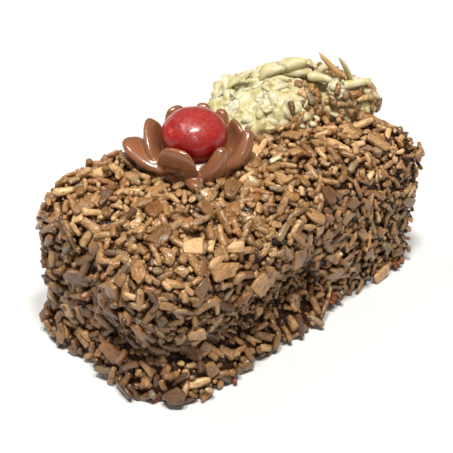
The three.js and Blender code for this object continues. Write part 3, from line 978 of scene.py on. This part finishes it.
def lay_coat(layer, scale, seed):
    """One layer of flakes, as a single piece."""
    rng, shaper = random_pair(seed)
    shapes = [layer.make(shaper) for _ in range(layer.variants)]
    points, normals = surface_candidates(layer.tries, rng)
    # Long flakes are also broad: one random number sizes all three ways.
    share = rng.uniform(0, 1, len(points)) ** 1.3
    sizes = np.stack([low + (high - low) * share for low, high in layer.sizes], axis=1)
    sizes *= scale * rng.uniform(0.85, 1.15, sizes.shape)
    x, y = points[:, 0], points[:, 1]
    far_front = ramp(x, 8, 25) * ramp(y, -16, -24)
    finer = np.maximum(FINER_FAR_FRONT * far_front, FINER_IN_HOLLOW * undercut(points))
    sizes *= (1 - finer)[:, None]
    radii = np.sqrt(sizes[:, 0] * sizes[:, 1]) / 2
    rows = spaced(points, radii, layer.overlap)
    rows = rows[clear_of_toppings(points[rows], sizes[rows, 0])]
    rows = rows[points[rows, 2] > sizes[rows, 2] * 0.5]
    points, normals, sizes = points[rows], normals[rows], sizes[rows]
    count = len(rows)
    off = rng.uniform(*layer.off, count)
    tilt = np.radians(np.abs(rng.normal(0, layer.tilt, count))).clip(0, STEEPEST_TILT)
    axes = tilted_axes(normals, tilt, rng)
    tints = rng.uniform(0, 1, (count, 3))
    # A random tone for each flake, plus painted light and shade for where it lies and which way it faces.
    tints[:, 0] = (0.5 + 0.2 * rng.normal(0, 1, count) + painted_light_and_shade(points, normals)).clip(0, 1)
    picks = rng.integers(0, len(shapes), count)
    centres = points + normals * off[:, None]
    centres[:, 2] = np.maximum(centres[:, 2], sizes[:, 2] * 0.55)
    return joined_copies(layer.name, shapes, picks, centres, axes, sizes, tints)


# ---------------- operators


class SLICE_OT_cake(bpy.types.Operator):
    """The slab of cake under its coat, spread with ganache"""

    bl_idname = "slice.cake"
    bl_label = "Cake slab"

    def execute(self, context):
        bm = bmesh.new()
        bmesh.ops.create_cube(bm, size=2)
        bmesh.ops.subdivide_edges(bm, edges=bm.edges[:], cuts=63, use_grid_fill=True)
        box = np.array([v.co for v in bm.verts])
        for v, point in zip(bm.verts, slab_surface(*rays_through(box), COAT_DEPTH)):
            v.co = point
        bmesh.ops.holes_fill(bm, edges=cut_off(bm, (0, 0, 0), (0, 0, -1)))
        piece = finish_mesh(bm, "cake_slab")
        ready(piece, ganache_material(context.scene.slice_colours), "cake")
        return {"FINISHED"}


class SLICE_OT_flakes(bpy.types.Operator):
    """The coat of chocolate flakes, from crumbs to broken plates"""

    bl_idname = "slice.flakes"
    bl_label = "Chocolate flakes"

    def execute(self, context):
        sizes, colours = context.scene.slice_sizes, context.scene.slice_colours
        material = flake_material(colours)
        for i, layer in enumerate(LAYERS):
            piece = lay_coat(layer, sizes.flake_scale, sizes.seed + i)
            ready(piece, material)
        self.bare_crumbs(sizes, crumb_material(colours))
        return {"FINISHED"}

    def bare_crumbs(self, sizes, material):
        """Small clusters of the cake's own crumb, pressed out at its foot."""
        rng = np.random.default_rng(sizes.seed + 30)
        shapes = [crumb_shape(random.Random(k)) for k in range(4)]
        places = np.repeat(np.array(BARE_CRUMBS), CRUMBS_IN_CLUSTER, axis=0)
        count = len(places)
        centres = places + rng.normal(0, 0.85, (count, 3)) * (1, 0.7, 0.7)
        measures = rng.uniform(0.9, 1.8, (count, 1)) * rng.uniform(0.8, 1.2, (count, 3))
        centres[:, 2] = np.maximum(centres[:, 2], measures[:, 2] * 0.5)
        axes = tilted_axes(rng.normal(0, 1, (count, 3)), np.full(count, 0.5), rng)
        tints = rng.uniform(0, 1, (count, 3))
        picks = rng.integers(0, len(shapes), count)
        piece = joined_copies("cake_crumbs", shapes, picks, centres, axes, measures, tints)
        ready(piece, material)


def on_rosette(base, bearing, reach, rise):
    """A place on the rosette, by its bearing in degrees, its reach and its rise over the base."""
    angle = math.radians(bearing)
    x, y = ROSETTE_X + reach * math.cos(angle), ROSETTE_Y + reach * math.sin(angle)
    return Vector((x, y, base.z + rise))


def curve_point(a, b, c, t):
    """A point on the quadratic Bezier curve, and its direction there."""
    point = a * (1 - t) ** 2 + b * 2 * t * (1 - t) + c * t**2
    return point, ((b - a) * (1 - t) + (c - b) * t).normalized()


def pipe_ridge(bm, base, ridge):
    """One piped ridge: a ball drawn out along a curve that runs outwards, then up to its tip."""
    *places, width, thickness = ridge
    start, middle, end = [on_rosette(base, *spot) for spot in places]
    axis = on_rosette(base, 0, 0, 0)
    for v in ball_along_x(bm, 28, 28):
        t = (v.co.x + 1) / 2
        at, forward = curve_point(start, middle, end, t)
        outward = (at - axis).to_2d().to_3d().normalized()
        around = Vector((-outward.y, outward.x, 0))
        face = forward.cross(around).normalized()
        side = face.cross(forward)
        # Fuller towards both ends than a drawn-out ball would be.
        fullness = 0.5 * max(math.sqrt(max(1 - v.co.x**2, 0)), 0.25) ** -0.45
        # A shallow groove from the nozzle runs along the middle of the ridge, on both its faces.
        groove = 1 - 0.1 * math.exp(-((math.atan2(v.co.y, abs(v.co.z)) / 0.3) ** 2))
        v.co = at + (side * v.co.y * width + face * v.co.z * thickness) * fullness * groove


class SLICE_OT_rosette(bpy.types.Operator):
    """The piped fudge rosette under the cherry"""

    bl_idname = "slice.rosette"
    bl_label = "Fudge rosette"

    def execute(self, context):
        base = top_of_slab(ROSETTE_X, ROSETTE_Y)
        bm = bmesh.new()
        body = ball(bm, 40, 20)
        bmesh.ops.scale(bm, vec=(ROSETTE_RADIUS, ROSETTE_RADIUS, ROSETTE_HEIGHT), verts=body)
        bmesh.ops.translate(bm, vec=(ROSETTE_X, ROSETTE_Y, base.z), verts=body)
        for ridge in RIDGES.values():
            pipe_ridge(bm, base, ridge)
        piece = finish_mesh(bm, "rosette_ridges")
        fuse(piece, 0.35, 5)
        ready(piece, fudge_material(context.scene.slice_colours), "rosette")
        return {"FINISHED"}


class SLICE_OT_cherry(bpy.types.Operator):
    """The candied cherry"""

    bl_idname = "slice.cherry"
    bl_label = "Candied cherry"

    def execute(self, context):
        radius = context.scene.slice_sizes.cherry_width / MM / 2
        base = top_of_slab(ROSETTE_X, ROSETTE_Y)
        bm = bmesh.new()
        for v in ball(bm, 96, 64):
            away = v.co.angle(CHERRY_DIMPLE)
            dent = -0.1 * math.exp(-((away / 0.16) ** 2)) + 0.02 * math.exp(-(((away - 0.3) / 0.1) ** 2))
            wrinkle = 0.018 * noise.noise(v.co * 3.5) + 0.006 * noise.noise(v.co * 11)
            v.co *= radius * (0.992 + dent + wrinkle)
            v.co.z *= CHERRY_SQUASH
        bmesh.ops.translate(
            bm, vec=(ROSETTE_X, ROSETTE_Y, base.z + CHERRY_HEIGHT), verts=bm.verts
        )
        piece = finish_mesh(bm, "cherry_candied")
        top = base.z + CHERRY_HEIGHT + radius * CHERRY_SQUASH
        ready(piece, cherry_material(context.scene.slice_colours, top), "cherry")
        return {"FINISHED"}


def shred_shape(rng, most_bend=0.3, rings=7):
    """A soft grated strip along X, about 1 long: bent, a little twisted and thinner at one end."""
    bm = bmesh.new()
    ball_along_x(bm, 10, rings)
    bend, twist = rng.uniform(-most_bend, most_bend), rng.uniform(-0.7, 0.7)
    offset = random_offset(rng)
    for v in bm.verts:
        x = v.co.x
        girth = max(1 - x * x, 0.05) ** -0.3 * (1 - 0.25 * x)
        v.co *= 1 + 0.3 * noise.noise(v.co * 1.3 + offset)
        v.co.y *= girth
        v.co.z *= girth
        v.co = Matrix.Rotation(twist * x, 3, "X") @ v.co
        v.co.y += bend * (x * x - 0.3)
        v.co.z -= 0.3 * x * x
        v.co *= 0.5
    return shape_data(bm)


def heap_places(count, rng):
    """Random places over both heaps, but for the skin of one that is inside the other; and normals."""
    bearing = rng.uniform(0, math.tau, (2, count))
    climb = np.arcsin(rng.uniform(0.03, 0.98, (2, count)))
    points, normals = [], []
    for heap, other, a, c in ((MOUND, LOBE, bearing[0], climb[0]), (LOBE, MOUND, bearing[1], climb[1])):
        share = count if heap is MOUND else count // 4
        p, n = on_heap(heap, a[:share], c[:share])
        outside = (heap_distance(p, other) > -1) | (p[:, 2] > SLAB_HEIGHT + 8)
        points.append(p[outside])
        normals.append(n[outside])
    return np.concatenate(points), np.concatenate(normals)


def flakes_reach(points):
    """The share of a heap's skin that flakes cover: they climb its front, higher at the far end."""
    x, y, z = points.T
    line = np.minimum(SLAB_HEIGHT + 0.6 + 0.38 * (x - 15), SLAB_HEIGHT + 7.6)
    dense = ramp(z, line + 0.8, line - 0.8)
    sparse = 0.16 * ramp(z, line + 4.5, line + 2) * ramp(x, 19, 24) * ramp(x, 40, 32)
    return np.maximum(dense, sparse) * ramp(y, 12, 7)


class SLICE_OT_coconut(bpy.types.Operator):
    """The heap of moist grated coconut, with its shreds and the flakes that stick to it"""

    bl_idname = "slice.coconut"
    bl_label = "Grated coconut"

    def execute(self, context):
        sizes, colours = context.scene.slice_sizes, context.scene.slice_colours
        material = coconut_material(colours)
        self.heap(sizes, material)
        self.shreds(sizes, material)
        self.loose_shreds(material)
        self.stray_bits(sizes, material)
        chocolate = bpy.data.materials.get("Milk chocolate, chopped") or flake_material(colours)
        self.flakes(sizes, chocolate)
        return {"FINISHED"}

    def heap(self, sizes, material):
        """The heap's mass: shreds clumped together, and fused as moist flesh sticks."""
        rng, shaper = random_pair(sizes.seed + 60)
        bm = bmesh.new()
        for heap in (MOUND, LOBE):
            vertices = ball(bm, 64, 32)
            unit = np.array([v.co for v in vertices])
            bearing, climb = np.arctan2(unit[:, 1], unit[:, 0]), np.arcsin(unit[:, 2].clip(-1, 1))
            for v, point in zip(vertices, on_heap(heap, bearing, climb, np.full(len(unit), 0.93))[0]):
                v.co = point
        shapes = [shred_shape(shaper) for _ in range(10)] + [shape_data(bm)]
        points, normals = heap_places(sizes.shred_count, rng)
        count = len(points)
        measures = rng.uniform((3.6, 1.9, 1.4), (8.0, 3.8, 2.8), (count, 3))
        axes = tilted_axes(normals, np.radians(rng.uniform(0, 35, count)), rng)
        centres = points + normals * rng.uniform(-1.3, 0.0, count)[:, None]
        piece = joined_copies(
            "coconut_heap",
            shapes,
            np.append(rng.integers(0, 10, count), 10),
            np.append(centres, [(0, 0, 0)], axis=0),
            np.append(axes, [np.eye(3)], axis=0),
            np.append(measures, [(1, 1, 1)], axis=0),
            np.full((count + 1, 3), 0.5),
        )
        fuse(piece, 0.3, 2)
        ready(piece, material, "coconut")

    def shreds(self, sizes, material):
        """Loose strips on top of the mass."""
        rng, shaper = random_pair(sizes.seed)
        shapes = [shred_shape(shaper, 0.8) for _ in range(12)]
        points, normals = heap_places(sizes.shred_count // 2, rng)
        count = len(points)
        length = sizes.shred_length / MM * rng.uniform(0.6, 1.4, count)
        measures = np.stack([length, rng.uniform(1.8, 3.6, count), rng.uniform(0.9, 1.6, count)], 1)
        axes = tilted_axes(normals, np.radians(rng.uniform(4, 38, count)), rng)
        tints = rng.uniform(0.1, 0.9, (count, 3))
        picks = rng.integers(0, len(shapes), count)
        centres = points + normals * rng.uniform(-0.4, 0.6, count)[:, None]
        piece = joined_copies("coconut_shreds", shapes, picks, centres, axes, measures, tints)
        ready(piece, material)

    def loose_shreds(self, material):
        """The long shreds that stand out, none of them bent by more than about a millimetre."""
        shaper = random.Random(LOOSE_SHRED_SEED)
        shapes = [shred_shape(shaper, 2.2 / width, 12) for *_, width, _ in LOOSE_SHREDS.values()]
        centres, axes, measures, tints = [], [], [], []
        for name, (root, bearing, climb, length, width, thickness) in LOOSE_SHREDS.items():
            bearing, climb = math.radians(bearing), math.radians(climb)
            level = math.cos(climb)
            along = Vector((math.cos(bearing) * level, math.sin(bearing) * level, math.sin(climb)))
            side = Vector((0, 0, 1)).cross(along).normalized()
            centres.append(Vector(root) + along * length / 2)
            axes.append(np.array([along, side, along.cross(side)]).T)
            measures.append((length, width, thickness))
            tints.append((0.5, 1.0 if name == TOASTED_SHRED else 0.6, 0.3))
        piece = joined_copies(
            "coconut_loose_shreds",
            shapes,
            np.arange(len(shapes)),
            np.array(centres),
            np.array(axes),
            np.array(measures),
            np.array(tints),
        )
        ready(piece, material)

    def stray_bits(self, sizes, material):
        """Small bits of coconut on the flakes."""
        rng, shaper = random_pair(sizes.seed + 40)
        shapes = [shred_shape(shaper) for _ in range(5)]
        centres = np.array([top_of_slab(x, y) for x, y in STRAY_BITS]) + (0, 0, 1.4)
        count = len(centres)
        measures = np.stack(
            [rng.uniform(2.5, 4.5, count), rng.uniform(1.4, 2.2, count), rng.uniform(0.9, 1.4, count)], 1
        )
        axes = tilted_axes(np.tile([0.0, 0.0, 1.0], (count, 1)), np.full(count, 0.3), rng)
        tints = np.tile([0.5, 0.6, 0.95], (count, 1))
        picks = rng.integers(0, len(shapes), count)
        piece = joined_copies("coconut_stray_bits", shapes, picks, centres, axes, measures, tints)
        ready(piece, material)

    def flakes(self, sizes, material):
        """The flakes that stick to the heap's front and pile up at its far end."""
        rng, shaper = random_pair(sizes.seed + 50)
        shapes = [rod_shape(shaper) for _ in range(7)] + [pebble_shape(shaper) for _ in range(5)]
        points, normals = heap_places(2600, rng)
        rows = np.flatnonzero(rng.uniform(0, 1, len(points)) < flakes_reach(points))
        measures = rng.uniform((2.6, 1.6, 1.4), (5.8, 2.5, 2.0), (len(points), 3)) * sizes.flake_scale
        radii = np.sqrt(measures[:, 0] * measures[:, 1]) / 2
        rows = rows[spaced(points[rows], radii[rows], 0.35)]
        points, normals, measures = points[rows], normals[rows], measures[rows]
        count = len(rows)
        centres = points + normals * rng.uniform(0.7, 1.6, count)[:, None]
        axes = tilted_axes(normals, np.radians(rng.uniform(5, 35, count)), rng)
        tints = rng.uniform(0, 1, (count, 3))
        tints[:, 0] = (0.5 + 0.17 * rng.normal(0, 1, count)).clip(0, 1)
        picks = rng.integers(0, len(shapes), count)
        piece = joined_copies("coconut_flakes", shapes, picks, centres, axes, measures, tints)
        ready(piece, material)


# ---------------- stage

# The camera stands off the near front corner, at its own bearing and dip, in millimetres and degrees.
CAMERA_AT = (-209.0, -214.9, 247.1)
CAMERA_BEARING, CAMERA_DIP = 46.21, 36.82
CAMERA_LENS = 103.3
CAMERA_RANGE = (0.01, 20)  # metres

# Wide suns, by bearing and height in degrees, strength, spread in degrees and colour. The last one,
# small and low, makes the wet sides glint.
WARM_WHITE = (1.0, 0.97, 0.93)
SUNS = {
    "overhead_left": (205, 77, 2.9, 9, WARM_WHITE),
    "overhead_right": (262, 74, 2.3, 9, WARM_WHITE),
    "back": (110, 62, 0.6, 12, (1, 1, 1)),
    "glints": (232, 40, 0.25, 3, (1.0, 0.96, 0.9)),
}

ROOM_COLOUR, ROOM_STRENGTH = (1, 0.9, 0.78, 1), 0.16
FLOOR_HALF_WIDTH = 3000


def add_sun(name, bearing, height, strength, spread, colour):
    light = bpy.data.lights.new(name, "SUN")
    light.energy = strength
    light.angle = math.radians(spread)
    light.color = colour
    lamp = place(light, name)
    lamp.rotation_euler = (0, math.radians(90 - height), math.radians(bearing))


class SLICE_OT_stage(bpy.types.Operator):
    """The pale floor, soft studio light and camera"""

    bl_idname = "slice.stage"
    bl_label = "Floor, lights and camera"

    def execute(self, context):
        bm = bmesh.new()
        bmesh.ops.create_grid(bm, x_segments=8, y_segments=8, size=FLOOR_HALF_WIDTH)
        floor = finish_mesh(bm, "floor")
        floor.data.materials.append(floor_material())
        world = bpy.data.worlds.new("Studio")
        context.scene.world = world
        world.use_nodes = True
        background = world.node_tree.nodes["Background"].inputs
        background["Color"].default_value = ROOM_COLOUR
        background["Strength"].default_value = ROOM_STRENGTH
        context.scene.view_settings.view_transform = "Standard"
        for name, sun in SUNS.items():
            add_sun(name, *sun)
        self.camera(context)
        return {"FINISHED"}

    def camera(self, context):
        camera = bpy.data.cameras.new("camera")
        camera.lens = CAMERA_LENS
        camera.clip_start, camera.clip_end = CAMERA_RANGE
        stand = place(camera, "camera")
        stand.location = Vector(CAMERA_AT) * MM
        stand.rotation_euler = (math.radians(90 - CAMERA_DIP), 0, math.radians(CAMERA_BEARING - 90))
        context.scene.camera = stand


class SLICE_PT_panel(bpy.types.Panel):
    """The slice's pieces and settings"""

    bl_label = "Cake slice"
    bl_space_type = "VIEW_3D"
    bl_region_type = "UI"
    bl_category = "Cake slice"

    def draw(self, context):
        layout = self.layout
        for settings in (context.scene.slice_sizes, context.scene.slice_colours):
            for name in settings.__annotations__:
                layout.prop(settings, name)
        for operator in OPERATORS:
            layout.operator(operator.bl_idname)


OPERATORS = (
    SLICE_OT_cake,
    SLICE_OT_flakes,
    SLICE_OT_rosette,
    SLICE_OT_cherry,
    SLICE_OT_coconut,
    SLICE_OT_stage,
)
CLASSES = (SliceSizes, SliceColours, *OPERATORS, SLICE_PT_panel)


def register():
    for cls in CLASSES:
        bpy.utils.register_class(cls)
    bpy.types.Scene.slice_sizes = bpy.props.PointerProperty(type=SliceSizes)
    bpy.types.Scene.slice_colours = bpy.props.PointerProperty(type=SliceColours)


def unregister():
    del bpy.types.Scene.slice_colours
    del bpy.types.Scene.slice_sizes
    for cls in reversed(CLASSES):
        bpy.utils.unregister_class(cls)


def main():
    register()
    for operator in OPERATORS:
        group, name = operator.bl_idname.split(".")
        getattr(getattr(bpy.ops, group), name)()


if __name__ == "__main__":
    main()
